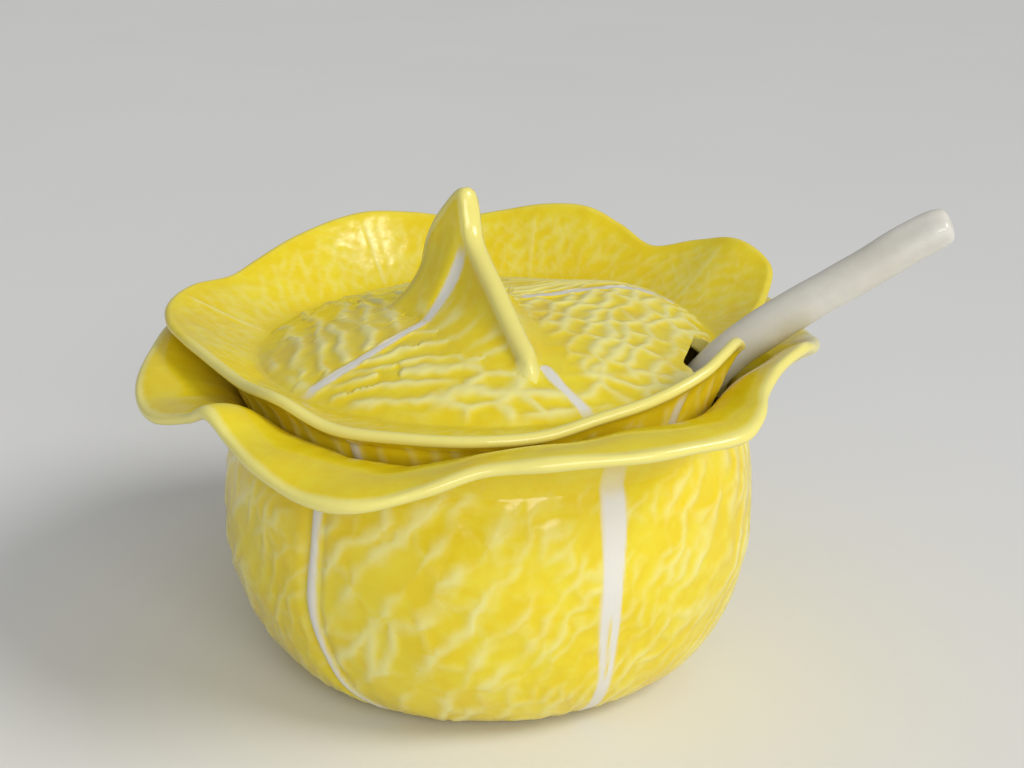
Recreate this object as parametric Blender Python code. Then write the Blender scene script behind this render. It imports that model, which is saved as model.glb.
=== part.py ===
"""Cabbage-leaf soup tureen: a leaf-walled bowl, a lid with a folded-leaf crest, and a ladle.

Metres, +Z up. The origin is the middle of the bowl's flat foot. Azimuth is measured in plan
from the front (-Y) towards +X, the side the ladle handle leaves on.
"""
import math

import bmesh
import bpy
from mathutils import Matrix, Vector

MM = 0.001

# Bowl
WALL = 5.0 * MM                 # thickness of the bowl's wall and floor
LEAF_COUNT = 5                  # leaves wrapped round the body
LEAF_MIDDLE = -8.5              # azimuth of the middle of the front leaf, degrees
LEAF_SWELL = 1.6 * MM           # how far a leaf's middle stands out of the creases
FOOT_POINTS = 3                 # points of BODY that lie over the flat foot
BODY = (                        # middle of the wall, radius and height, mm
    (0.0, 2.5), (40.0, 2.5), (76.0, 2.5), (88.5, 5.2), (99.5, 12.4), (108.5, 25.0), (115.0, 42.0),
    (118.8, 60.0), (119.6, 78.0), (118.2, 96.0), (115.2, 110.0), (113.0, 120.0),
)
BOWL_RIM = (                    # azimuth, radius and height of the leaf edge, mm
    (-170, 151, 150), (-148, 157, 146), (-126, 150, 150), (-98, 151, 148), (-88, 152, 145),
    (-75, 157, 138), (-64, 156, 136), (-55, 149, 142), (-49, 148, 148), (-42, 150, 142),
    (-34, 156, 137), (-25, 162, 133), (-17, 163, 133), (-8, 156, 139), (0, 151, 145),
    (10, 153, 148), (28, 159, 149.5), (38, 161, 150), (43, 157, 154), (48, 149, 158),
    (55, 145, 163), (64, 147, 165), (71, 147, 160), (80, 146, 155), (96, 146, 147),
    (112, 152, 147), (132, 150, 151), (152, 157, 147),
)
FLARE_STEPS = 6
CHANNEL = (77.0, 13.0, 4.0 * MM)    # azimuth, half width and size of the dip under the ladle
SHELF = (28.0, 20.0, 6.0 * MM)      # the same for the fuller leaf beside it

# Lid
DOME_RADIUS = 104.0 * MM
DOME_EDGE_HEIGHT = 146.0 * MM
DOME_RISE = 19.0 * MM
LID_WALL = 4.6 * MM
SKIRT_TOP = (115.1 * MM, 135.5 * MM)
SKIRT_FOOT = (109.0 * MM, 121.0 * MM)
SKIRT_WALL = 4.6 * MM
LID_RIM = (                     # azimuth, radius and height of the lid's leaf edge, mm
    (-172, 130, 174), (-162, 133, 177), (-150, 135, 179), (-134, 135, 173), (-122, 136, 166),
    (-115, 139, 162), (-106, 146, 163), (-97, 148, 161.5), (-88, 143, 159.5), (-81, 135, 157),
    (-74, 128, 155), (-66, 123, 153), (-57, 121, 152), (-43, 122, 153.5), (-30, 122, 147.5),
    (-16, 120, 147), (0, 120, 147.5), (11, 120, 149), (21, 121, 154), (32, 124, 159),
    (43, 126, 166), (52, 124, 170), (62, 120, 170), (78, 118, 156), (96, 119, 150), (102, 124, 151),
    (109, 138, 157), (115, 149, 167), (123, 145, 175), (132, 139, 171), (141, 129, 166),
    (150, 131, 174), (158, 131, 181), (168, 130, 181), (178, 130, 177),
)
NOTCH_INNER = 84.0 * MM         # radius where the ladle notch ends
NOTCH_MIDDLE = 78.0             # azimuth, degrees
NOTCH_LOW = (100.0 * MM, 34.0)  # height, and half of the notch's opening there in degrees
NOTCH_HIGH = (200.0 * MM, 8.3)
NOTCH_CORNER = 7.0 * MM

# Crest: the folded leaf standing on the lid, its ridge given as plan position and height, mm
RIDGE = (
    (23.5, -71.0, 158.0), (20.5, -63.0, 164.5), (15.5, -52.0, 173.5), (9.5, -40.0, 184.0),
    (4.0, -27.0, 198.0), (-1.5, -13.0, 212.0), (-8.0, -2.0, 220.5), (-15.0, 5.0, 218.5),
    (-22.0, 12.0, 210.0), (-29.0, 19.0, 196.0), (-35.5, 26.0, 179.0), (-42.0, 34.0, 162.0),
)
CREST_HALF = 4.6 * MM           # half thickness just under the rounded top
CREST_FLARE = 12.0 * MM         # how far each side spreads where it meets the dome
CREST_SINK = 3.4 * MM           # how far the crest's foot reaches into the lid wall

# Ladle: lies in one upright plane through the tureen's middle
LADLE_AZIMUTH = 77.0
CUP_MIDDLE = 12.0 * MM
CUP_FLOOR = 5.3 * MM
CUP = ((0.0, 0.0), (15.0, 0.0), (24.0, 3.4), (30.5, 10.5), (34.6, 21.0), (36.5, 35.0))
CUP_WALL = 3.4 * MM
HANDLE = (                      # distance out from the middle, height and radius, mm
    (44.0, 33.0, 6.5), (50.0, 46.0, 7.6), (58.0, 66.0, 8.2), (70.0, 92.0, 8.8), (87.0, 121.5, 9.2),
    (107.0, 147.0, 9.3), (124.5, 162.5, 9.2), (143.5, 176.5, 9.0), (164.0, 190.5, 8.7),
    (182.0, 203.5, 8.6), (193.0, 210.5, 8.2), (199.5, 213.0, 5.5),
)

TURNS = 72                      # flat strips round the bowl and the lid
TUBE_SIDES = 16


def clear_scene():
    for item in list(bpy.data.objects):
        bpy.data.objects.remove(item, do_unlink=True)


def material(name, colour, roughness):
    mat = bpy.data.materials.new(name)
    mat.use_nodes = True
    shader = mat.node_tree.nodes["Principled BSDF"]
    shader.inputs["Base Color"].default_value = (*colour, 1.0)
    shader.inputs["Roughness"].default_value = roughness
    mat.diffuse_color = (*colour, 1.0)
    return mat


def smooth_loop(table, azimuth):
    """Cubic value of a closed (azimuth, ...) table at one azimuth, in degrees."""
    rows = sorted(table)
    count = len(rows)
    place = (azimuth + 180.0) % 360.0 - 180.0
    after = next((i for i, row in enumerate(rows) if row[0] > place), count)
    picked = []
    for step in (-2, -1, 0, 1):
        lap, index = divmod(after + step, count)
        picked.append((rows[index][0] + 360.0 * lap, rows[index][1:]))
    (a0, v0), (a1, v1), (a2, v2), (a3, v3) = picked
    t = (place - a1) / (a2 - a1)
    values = []
    for p0, p1, p2, p3 in zip(v0, v1, v2, v3):
        m1 = (p2 - p0) / (a2 - a0) * (a2 - a1)
        m2 = (p3 - p1) / (a3 - a1) * (a2 - a1)
        values.append(
            (2 * t**3 - 3 * t**2 + 1) * p1 + (t**3 - 2 * t**2 + t) * m1
            + (3 * t**2 - 2 * t**3) * p2 + (t**3 - t**2) * m2
        )
    return values


def bezier(p0, p1, p2, p3, t):
    u = 1.0 - t
    weights = (u**3, 3 * u * u * t, 3 * u * t * t, t**3)
    return tuple(sum(w * p[k] for w, p in zip(weights, (p0, p1, p2, p3))) for k in (0, 1))


def offset_line(line, distance):
    """The line moved to its left by the distance, in its own plane."""
    moved = []
    for i, (x, y) in enumerate(line):
        x0, y0 = line[max(i - 1, 0)]
        x1, y1 = line[min(i + 1, len(line) - 1)]
        length = math.hypot(x1 - x0, y1 - y0)
        moved.append((x - (y1 - y0) / length * distance, y + (x1 - x0) / length * distance))
    return moved


def round_end(line, half, steps=3):
    """Points round the end of a strip of the given half thickness, from its right to its left."""
    (x0, y0), (x1, y1) = line[-2:]
    heading = math.atan2(y1 - y0, x1 - x0)
    angles = [heading - math.pi / 2 + math.pi * k / (steps + 1) for k in range(1, steps + 1)]
    return [(x1 + half * math.cos(a), y1 + half * math.sin(a)) for a in angles]


def plan(azimuth, radius, height):
    turn = math.radians(azimuth)
    return Vector((radius * math.sin(turn), -radius * math.cos(turn), height))


def lathe(name, profile_at, mat):
    """A closed body from one (radius, height) profile per azimuth; both ends lie on the axis."""
    bm = bmesh.new()
    azimuths = [-180.0 + 360.0 * k / TURNS for k in range(TURNS)]
    profiles = [profile_at(a) for a in azimuths]
    ends = [bm.verts.new((0.0, 0.0, profiles[0][i][1])) for i in (0, -1)]
    rings = [
        [bm.verts.new(plan(a, *point)) for point in profile[1:-1]]
        for a, profile in zip(azimuths, profiles)
    ]
    for k, ring in enumerate(rings):
        other = rings[(k + 1) % TURNS]
        bm.faces.new((ends[0], other[0], ring[0]))
        bm.faces.new((ends[1], ring[-1], other[-1]))
        for i in range(len(ring) - 1):
            bm.faces.new((ring[i], other[i], other[i + 1], ring[i + 1]))
    return finish(name, bm, mat)


def finish(name, bm, mat):
    bmesh.ops.recalc_face_normals(bm, faces=bm.faces)
    mesh = bpy.data.meshes.new(name)
    bm.to_mesh(mesh)
    bm.free()
    obj = bpy.data.objects.new(name, mesh)
    bpy.context.scene.collection.objects.link(obj)
    mesh.materials.append(mat)
    mesh.polygons.foreach_set("use_smooth", [True] * len(mesh.polygons))
    return obj


def boolean(target, other, operation):
    """Join or cut the other body for good, then remove it."""
    step = target.modifiers.new(operation.lower(), "BOOLEAN")
    step.operation = operation
    step.solver = "EXACT"
    step.object = other
    bpy.context.view_layer.update()
    result = bpy.data.meshes.new_from_object(
        target.evaluated_get(bpy.context.evaluated_depsgraph_get()))
    target.modifiers.clear()
    old = target.data
    target.data = result
    result.name = target.name
    bpy.data.meshes.remove(old)
    bpy.data.objects.remove(other, do_unlink=True)


def bowl_profile(azimuth):
    """Wall section: inside from the axis up to the leaf edge, then down the outside."""
    leaf = math.cos(math.radians((azimuth - LEAF_MIDDLE) * LEAF_COUNT))
    middle = []
    for radius, height in BODY:
        swell = LEAF_SWELL * leaf * max(0.0, math.sin(math.pi * min(height / 120.0, 1.0)))
        middle.append((radius * MM + swell, height * MM))
    rim_radius, rim_height = (v * MM for v in smooth_loop(BOWL_RIM, azimuth))
    neck = middle[-1]
    lift = min(max((rim_height - 131.0 * MM) / (30.0 * MM), 0.0), 1.0)
    dip = CHANNEL[2] * math.exp(-((azimuth - CHANNEL[0]) / CHANNEL[1]) ** 2)
    swell = SHELF[2] * math.exp(-((azimuth - SHELF[0]) / SHELF[1]) ** 2)
    first = (neck[0] + 2.0 * MM + 0.5 * swell, neck[1] + 12.0 * MM + 0.8 * swell - dip)
    second = (rim_radius - (24.0 - 6.0 * lift) * MM - 1.4 * swell,
              rim_height + (9.0 - 15.0 * lift) * MM + swell - dip)
    for k in range(1, FLARE_STEPS + 1):
        middle.append(bezier(neck, first, second, (rim_radius, rim_height), k / FLARE_STEPS))
    inside = offset_line(middle, WALL / 2)
    outside = offset_line(middle, -WALL / 2)
    outside = [(r, 0.0 if i < FOOT_POINTS else z) for i, (r, z) in enumerate(outside)]
    return inside + round_end(middle, WALL / 2)[::-1] + outside[::-1]


def dome_height(radius):
    """Height of the lid's top face inside the valley."""
    share = min(radius / DOME_RADIUS, 1.0)
    return DOME_EDGE_HEIGHT + DOME_RISE * (1.0 - share**2.4)


def lid_profile(azimuth):
    """Section: top from the axis out to the leaf edge, down the skirt and back underneath."""
    rim_radius, rim_height = (v * MM for v in smooth_loop(LID_RIM, azimuth))
    top = [(DOME_RADIUS * s, dome_height(DOME_RADIUS * s)) for s in (0.0, 0.2, 0.4, 0.6, 0.75, 0.88, 0.96)]
    valley = (DOME_RADIUS, DOME_EDGE_HEIGHT - 0.6 * MM)
    edge = (rim_radius, rim_height)
    first = (valley[0] + 5.0 * MM, valley[1] - 0.4 * MM)
    second = (valley[0] + 0.55 * (edge[0] - valley[0]), valley[1] + 0.45 * (edge[1] - valley[1]))
    rise = [bezier(valley, first, second, edge, t) for t in (0.0, 0.35, 0.7, 1.0)]
    turn_over = round_end([rise[-2], edge], LID_WALL / 2)[::-1]
    heading = math.atan2(edge[1] - rise[-2][1], edge[0] - rise[-2][0])
    drop = (LID_WALL / 2 * math.sin(heading), -LID_WALL / 2 * math.cos(heading))
    turn_over = [(r + drop[0], z + drop[1]) for r, z in turn_over]
    under = (edge[0] + 2 * drop[0], edge[1] + 2 * drop[1])
    hang = [bezier(under, ((under[0] + SKIRT_TOP[0]) / 2, under[1] - 3.0 * MM),
                   (SKIRT_TOP[0] + 1.0 * MM, SKIRT_TOP[1] + 4.0 * MM), SKIRT_TOP, t)
            for t in (0.0, 0.4, 0.75, 1.0)]
    foot = [SKIRT_FOOT, (SKIRT_FOOT[0] - 0.8 * MM, SKIRT_FOOT[1] - 0.8 * MM),
            (SKIRT_FOOT[0] - SKIRT_WALL + 0.8 * MM, SKIRT_FOOT[1] - 0.8 * MM),
            (SKIRT_FOOT[0] - SKIRT_WALL, SKIRT_FOOT[1])]
    inside = [(102.8 * MM, 134.0 * MM), (99.0 * MM, 141.2 * MM)]
    under_dome = [(DOME_RADIUS * s, dome_height(DOME_RADIUS * s) - LID_WALL) for s in (0.88, 0.7, 0.45, 0.2, 0.0)]
    return top + rise + turn_over + hang + foot + inside + under_dome


def notch_outline(half):
    """Plan of the ladle notch: a wedge open outwards with rounded inner corners."""
    corner_turn = math.degrees(NOTCH_CORNER / NOTCH_INNER)
    sides = []
    for side in (1, -1):
        start = NOTCH_MIDDLE - side * half
        arc = [(start, 170.0 * MM)]
        for k in range(5):
            angle = math.pi / 2 * k / 4
            arc.append((start + side * corner_turn * (1.0 - math.cos(angle)),
                        NOTCH_INNER + NOTCH_CORNER * (1.0 - math.sin(angle))))
        sides.append(arc)
    return sides[0] + sides[1][::-1]


def notch_cutter():
    """The notch's wedge from below the skirt to above the leaf edge, closing in upwards."""
    bm = bmesh.new()
    rings = [[bm.verts.new(plan(a, r, z)) for a, r in notch_outline(half)]
             for z, half in (NOTCH_LOW, NOTCH_HIGH)]
    for ring in rings:
        bm.faces.new(ring)
    bmesh.ops.bridge_loops(bm, edges=[e for e in bm.edges])
    bmesh.ops.triangulate(bm, faces=bm.faces)
    return finish("notch_cutter", bm, bpy.data.materials["lid_glaze"])


def crest(mat):
    """The upright folded leaf: a rounded blade over the ridge line, flared at its foot."""
    bm = bmesh.new()
    points = [Vector(p) * MM for p in RIDGE]
    loops = []
    for i, top in enumerate(points):
        ahead = points[min(i + 1, len(points) - 1)] - points[max(i - 1, 0)]
        side = Vector((ahead.y, -ahead.x, 0.0)).normalized()
        base = dome_height(math.hypot(top.x, top.y)) - CREST_SINK
        rise = top.z - base
        half = min(CREST_HALF, 0.45 * rise)
        section = []
        for share in (0.0, 0.25, 0.55, 0.85):
            flare = CREST_FLARE * (1.0 - share) ** 3
            section.append((-(half + flare), share * (rise - half)))
        section += [(-half * math.cos(a), rise - half + half * math.sin(a))
                    for a in (0.0, math.pi / 4)]
        section.append((0.0, rise))
        section += [(-x, z) for x, z in section[-2::-1]]
        loops.append([bm.verts.new((top.x + side.x * x, top.y + side.y * x, base + z))
                      for x, z in section])
    for a, b in zip(loops, loops[1:]):
        for i in range(len(a)):
            j = (i + 1) % len(a)
            bm.faces.new((a[i], a[j], b[j], b[i]))
    bm.faces.new(loops[0])
    bm.faces.new(loops[-1])
    return finish("crest", bm, mat)


def tube(name, spine, mat):
    """A round-section body along (position, radius) stations in one plane, with flat ends."""
    bm = bmesh.new()
    across = Vector((0.0, 1.0, 0.0))
    rings = []
    for i, (place, radius) in enumerate(spine):
        ahead = (spine[min(i + 1, len(spine) - 1)][0] - spine[max(i - 1, 0)][0]).normalized()
        up = across.cross(ahead)
        rings.append([
            bm.verts.new(place + radius * (math.cos(a) * across + math.sin(a) * up))
            for a in (2 * math.pi * k / TUBE_SIDES for k in range(TUBE_SIDES))
        ])
    for a, b in zip(rings, rings[1:]):
        for i in range(TUBE_SIDES):
            j = (i + 1) % TUBE_SIDES
            bm.faces.new((a[i], a[j], b[j], b[i]))
    bm.faces.new(rings[0])
    bm.faces.new(rings[-1])
    return finish(name, bm, mat)


def turned(name, profile, middle, mat, sides=40):
    """A solid of revolution about the upright line through (middle, 0)."""
    bm = bmesh.new()
    points = [bm.verts.new((middle + r, 0.0, z)) for r, z in profile]
    edges = [bm.edges.new(pair) for pair in zip(points, points[1:])]
    bmesh.ops.spin(bm, geom=points + edges, cent=(middle, 0.0, 0.0), axis=(0.0, 0.0, 1.0),
                   angle=2 * math.pi, steps=sides, use_merge=True)
    bmesh.ops.remove_doubles(bm, verts=bm.verts, dist=0.00001)
    return finish(name, bm, mat)


def make_bowl():
    return lathe("tureen_bowl", bowl_profile, material("bowl_glaze", (0.86, 0.72, 0.10), 0.15))


def make_lid():
    mat = material("lid_glaze", (0.88, 0.76, 0.18), 0.15)
    lid = lathe("lid", lid_profile, mat)
    boolean(lid, crest(mat), "UNION")
    boolean(lid, notch_cutter(), "DIFFERENCE")
    return lid


def make_ladle():
    """Built along +X, then turned to the handle's azimuth."""
    mat = material("ladle_glaze", (0.86, 0.83, 0.76), 0.2)
    outer = [(r * MM, CUP_FLOOR + z * MM) for r, z in CUP]
    top = outer[-1][1]
    outer.append((0.0, top))
    inner = [(max(r, 0.0), z) for r, z in offset_line(outer[:-1], CUP_WALL)]
    inner[0] = (0.0, inner[0][1])
    inner[-1] = (outer[-2][0] - CUP_WALL, top)
    inner += [(inner[-1][0] + 1.0 * MM, top + 12.0 * MM), (0.0, top + 12.0 * MM)]
    ladle = turned("ladle", outer, CUP_MIDDLE, mat)
    spine = [(Vector((s * MM, 0.0, z * MM)), r * MM) for s, z, r in HANDLE]
    boolean(ladle, tube("handle", spine, mat), "UNION")
    boolean(ladle, turned("cup_hollow", inner, CUP_MIDDLE, mat), "DIFFERENCE")
    ladle.data.transform(Matrix.Rotation(math.radians(LADLE_AZIMUTH - 90.0), 4, "Z"))
    return ladle


clear_scene()
for piece in (make_bowl(), make_lid(), make_ladle()):
    triangles = sum(len(p.vertices) - 2 for p in piece.data.polygons)
    print(piece.name, "triangles", triangles)
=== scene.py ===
# %% [markdown]
# # A cabbage-leaf soup tureen
#
# The real tureen is slip-cast earthenware: a round bowl wrapped in leaves, a lid whose middle is pulled
# up into a folded leaf, and a ladle. All three are covered in a thick glossy glaze, yellow where it
# pools between the veins, paler where it runs thin over them, and white on the big ribs. The packed
# model gives us the bodies that move; every visible surface here is a finer piece that rides on one.

import math

import bmesh
import bpy
import numpy as np
from mathutils import Matrix, Vector
from mathutils.kdtree import KDTree


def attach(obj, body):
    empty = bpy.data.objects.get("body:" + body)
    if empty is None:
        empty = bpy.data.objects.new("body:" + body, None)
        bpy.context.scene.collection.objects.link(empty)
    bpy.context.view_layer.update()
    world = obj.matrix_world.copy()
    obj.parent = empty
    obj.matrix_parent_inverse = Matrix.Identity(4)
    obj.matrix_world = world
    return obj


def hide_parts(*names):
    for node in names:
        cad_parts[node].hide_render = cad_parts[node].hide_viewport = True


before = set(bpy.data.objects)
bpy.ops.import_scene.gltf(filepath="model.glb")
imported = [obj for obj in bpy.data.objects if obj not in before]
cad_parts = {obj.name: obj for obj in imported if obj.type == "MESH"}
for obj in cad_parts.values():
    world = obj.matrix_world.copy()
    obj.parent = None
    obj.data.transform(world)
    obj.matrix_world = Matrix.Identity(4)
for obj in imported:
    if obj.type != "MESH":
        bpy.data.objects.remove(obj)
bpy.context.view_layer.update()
MM = 0.001


def add(name, data):
    """Put an object that holds the data into the scene."""
    thing = bpy.data.objects.new(name, data)
    bpy.context.scene.collection.objects.link(thing)
    return thing


# %% [markdown]
# ## The camera first
#
# A product camera on a tripod, a little above the rim and looking down. Setting it before anything
# else lets every later step be judged from the same place.

# %% Camera
CAMERA_PLACE = (0.0104, -0.700, 0.372)
CAMERA_TILT = 70.7               # degrees; 90 would look straight ahead

camera_data = bpy.data.cameras.new("product_camera")
camera_data.lens = 56.25
camera_data.sensor_width = 36.0
camera = add("product_camera", camera_data)
camera.location = CAMERA_PLACE
camera.rotation_euler = (math.radians(CAMERA_TILT), 0.0, 0.0)
bpy.context.scene.camera = camera
print("camera height", CAMERA_PLACE[2])

# %% [markdown]
# ## Lines to build on
#
# A leaf edge is a closed wavy line: its radius and height change round the tureen. We write it as a
# short table of azimuths (0 is the front, 90 the right) and read it with a cubic curve that joins up
# with itself. Open lines, such as a wall's section or the ladle's handle, pass through their points in
# the same smooth way and are then spaced evenly.


# %% Smooth lines
def closed_curve(table, azimuths):
    """Cubic values of a closed (azimuth, ...) table, in degrees, at many azimuths."""
    rows = np.array(sorted(table), float)
    before, beyond = rows[-2:].copy(), rows[:2].copy()
    before[:, 0] -= 360.0
    beyond[:, 0] += 360.0
    rows = np.vstack([before, rows, beyond])
    place = (np.asarray(azimuths, float) + 180.0) % 360.0 - 180.0
    after = np.clip(np.searchsorted(rows[:, 0], place, side="right"), 2, len(rows) - 2)
    a0, a1, a2, a3 = (rows[after + k, 0][:, None] for k in (-2, -1, 0, 1))
    p0, p1, p2, p3 = (rows[after + k, 1:] for k in (-2, -1, 0, 1))
    t = (place[:, None] - a1) / (a2 - a1)
    m1 = (p2 - p0) / (a2 - a0) * (a2 - a1)
    m2 = (p3 - p1) / (a3 - a1) * (a2 - a1)
    return ((2 * t**3 - 3 * t**2 + 1) * p1 + (t**3 - 2 * t**2 + t) * m1
            + (3 * t**2 - 2 * t**3) * p2 + (t**3 - t**2) * m2)


def evenly(line, count):
    """The same line with count evenly spaced points."""
    line = np.asarray(line, float)
    run = np.concatenate([[0.0], np.cumsum(np.linalg.norm(np.diff(line[:, :3], axis=0), axis=1))])
    want = np.linspace(0.0, run[-1], count)
    return np.column_stack([np.interp(want, run, column) for column in line.T])


def through(points, count):
    """A smooth line through the points, evenly spaced."""
    points = np.asarray(points, float)
    ends = np.vstack([2 * points[0] - points[1], points, 2 * points[-1] - points[-2]])
    parts = []
    for p0, p1, p2, p3 in zip(ends, ends[1:], ends[2:], ends[3:]):
        t = np.linspace(0.0, 1.0, 24, endpoint=False)[:, None]
        parts.append(0.5 * (2 * p1 + (p2 - p0) * t + (2 * p0 - 5 * p1 + 4 * p2 - p3) * t**2
                            + (3 * p1 - p0 - 3 * p2 + p3) * t**3))
    return evenly(np.vstack(parts + [points[-1:]]), count)


def bezier(p0, p1, p2, p3, count):
    t = np.linspace(0.0, 1.0, count)[:, None]
    p0, p1, p2, p3 = (np.asarray(p, float) for p in (p0, p1, p2, p3))
    return evenly((1 - t)**3 * p0 + 3 * t * (1 - t)**2 * p1 + 3 * t**2 * (1 - t) * p2 + t**3 * p3, count)


def left_of(line):
    """Unit directions to the left of a plane line, one for each point."""
    ahead = np.gradient(line, axis=0)
    ahead /= np.linalg.norm(ahead, axis=1)[:, None]
    return np.column_stack([-ahead[:, 1], ahead[:, 0]])


def half_turn(centre, radius, start, count):
    """Points of a half circle that turns clockwise from the start angle, its ends left out."""
    angles = start - math.pi * np.arange(1, count + 1) / (count + 1)
    return np.column_stack([centre[0] + radius * np.cos(angles), centre[1] + radius * np.sin(angles)])


print("an even line of", len(through([(0, 0), (1, 1), (2, 0)], 9)), "points")

# %% [markdown]
# ## A rope of rings
#
# Bowls, lids, cups and handles are all closed skins made of rings. The screw-like Spin operator makes
# such a skin in one go: a straight column of points turns once round an axis and its two ends stay on
# it, so they close as poles. We spin a plain column first, ask each point which ring and which angle
# it has, and then move it to where the real section lies.


# %% Spin a column of rings
def rings(name, stations, steps):
    """A spun capsule, with the ring number and the turn (0 to 1) of each of its points."""
    bm = bmesh.new()
    column = [bm.verts.new((0.0 if k in (0, stations - 1) else 1.0, 0.0, float(k))) for k in range(stations)]
    edges = [bm.edges.new(pair) for pair in zip(column, column[1:])]
    bmesh.ops.spin(bm, geom=column + edges, cent=(0, 0, 0), axis=(0, 0, 1), angle=2 * math.pi,
                   steps=steps, use_merge=True)
    bmesh.ops.remove_doubles(bm, verts=bm.verts, dist=0.0005)
    bmesh.ops.recalc_face_normals(bm, faces=bm.faces)
    mesh = bpy.data.meshes.new(name)
    bm.to_mesh(mesh)
    bm.free()
    piece = add(name, mesh)
    place = places(mesh)
    station = np.rint(place[:, 2]).astype(int)
    turn = np.mod(np.rint(np.arctan2(place[:, 1], place[:, 0]) / (2 * math.pi) * steps).astype(int), steps)
    return piece, station, turn


def places(mesh):
    flat = np.empty(len(mesh.vertices) * 3)
    mesh.vertices.foreach_get("co", flat)
    return flat.reshape(-1, 3)


def move(mesh, place):
    mesh.vertices.foreach_set("co", np.ascontiguousarray(place, float).ravel())
    mesh.update()


def mark(mesh, name, values):
    """Store one number for each point, for the glaze to read."""
    layer = mesh.attributes.get(name) or mesh.attributes.new(name, "FLOAT", "POINT")
    layer.data.foreach_set("value", np.ascontiguousarray(values, np.float32))


def mark_all(piece, vein=0.0, rib=0.0, edge=0.0):
    """Store the glaze's three marks and made = 1, which a later Boolean's new points won't have."""
    for name, values in (("vein", vein), ("rib", rib), ("edge", edge), ("made", 1.0)):
        mark(piece.data, name, np.broadcast_to(values, len(piece.data.vertices)))


def read_mark(mesh, name):
    values = np.empty(len(mesh.vertices), np.float32)
    mesh.attributes[name].data.foreach_get("value", values)
    return values


def face_out(piece):
    """Turn the faces of a closed skin outwards."""
    bm = bmesh.new()
    bm.from_mesh(piece.data)
    bmesh.ops.recalc_face_normals(bm, faces=bm.faces)
    if bm.calc_volume(signed=True) < 0:
        bmesh.ops.reverse_faces(bm, faces=bm.faces)
    bm.to_mesh(piece.data)
    bm.free()
    piece.data.polygons.foreach_set("use_smooth", [True] * len(piece.data.polygons))


def skin(name, rows):
    """A closed skin through rings of points (mm), with a pole at the middle of each end ring."""
    rows = np.asarray(rows)
    first, last = (np.repeat(row.mean(0)[None], len(row), 0)[None] for row in (rows[0], rows[-1]))
    rows = np.concatenate([first, rows, last])
    piece, station, turn = rings(name, len(rows), rows.shape[1])
    move(piece.data, rows[station, turn] * MM)
    return piece, station, rows[station, turn]


print("rings ready")

# %% [markdown]
# ## Veins
#
# Between the ribs a cabbage leaf is a net of raised veins round shallow cells. The borders of a
# jittered grid of cells (a Voronoi pattern) look just like that. We measure how far each point is from
# the nearest border, in real millimetres, and stretch the cells where the leaf's veins run long.
# Slow waves of unrelated lengths bend the net, so no line in it is straight.


# %% Cell borders and slow waves
def jitter(i, j, seed):
    """Two steady pseudo-random numbers from 0 to 1 for each cell."""
    a = np.sin(i * 127.1 + j * 311.7 + seed * 17.3) * 43758.5453
    b = np.sin(i * 269.5 + j * 183.3 + seed * 29.1) * 24634.6345
    return a - np.floor(a), b - np.floor(b)


def cell_border(u, v, size_u, size_v, seed):
    """Distance in mm to the nearest border of a stretched net, and how much that border runs along u."""
    u, v = u / size_u, v / size_v
    iu, iv = np.floor(u), np.floor(v)

    def seeds_within(cells):
        """Where each cell's seed lies from the points, cell by cell outwards on each side."""
        for du in range(-cells, cells + 1):
            for dv in range(-cells, cells + 1):
                ju, jv = jitter(iu + du, iv + dv, seed)
                yield iu + du + 0.1 + 0.8 * ju - u, iv + dv + 0.1 + 0.8 * jv - v

    nearest = np.full(u.shape, 99.0)
    near_u, near_v = np.zeros(u.shape), np.zeros(u.shape)
    for pu, pv in seeds_within(1):
        reach = pu**2 + pv**2
        closer = reach < nearest
        nearest = np.where(closer, reach, nearest)
        near_u, near_v = np.where(closer, pu, near_u), np.where(closer, pv, near_v)
    border, lengthways = np.full(u.shape, 99.0), np.zeros(u.shape)
    for pu, pv in seeds_within(2):
        gap_u, gap_v = pu - near_u, pv - near_v
        length = np.maximum(np.hypot(gap_u, gap_v), 1e-6)
        middle = 0.5 * ((pu + near_u) * gap_u + (pv + near_v) * gap_v) / length
        middle /= np.maximum(np.hypot(gap_u / length / size_u, gap_v / length / size_v), 1e-9)
        closer = (length > 1e-3) & (middle < border)
        border = np.where(closer, middle, border)
        lengthways = np.where(closer, np.abs(gap_v) / length, lengthways)
    return border, lengthways


def wave(a, b, size, seed):
    """A slow random-looking wave between about -1 and 1, with features of the given size."""
    total = 0.0
    for k, (turn, scale) in enumerate(((0.4, 1.0), (1.7, 1.31), (2.9, 0.77), (4.4, 1.63))):
        c, s = math.cos(turn + seed), math.sin(turn + seed)
        total = total + np.sin((a * c + b * s) * 2 * math.pi / (size * scale) + seed * (3.1 + k))
    return total / 2.4


def ease(low, high, value):
    t = np.clip((value - low) / (high - low), 0.0, 1.0)
    return t * t * (3 - 2 * t)


def turn_from(azimuth, middle):
    """Degrees from the middle azimuth, from -180 to 180."""
    return (azimuth - middle + 180.0) % 360.0 - 180.0


def ridge(away, width):
    """1 on a line, falling smoothly to 0 at the width."""
    return np.exp(-(away / (0.55 * width)) ** 2)


def veins_of(u, v, size_u, size_v, width, seed, cross=0.5):
    """Vein strength: full on borders that run along u, weaker on those that cross it."""
    border, lengthways = cell_border(u, v, size_u, size_v, seed)
    line = 0.5 * ridge(border, width) + 0.5 * ridge(border, 2.3 * width)
    return line * (cross + (1.0 - cross) * ease(0.3, 0.8, lengthways))


print("strength in a cell", np.round(veins_of(np.array([5.0]), np.array([5.0]), 10, 10, 3.0, 1), 2))

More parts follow.
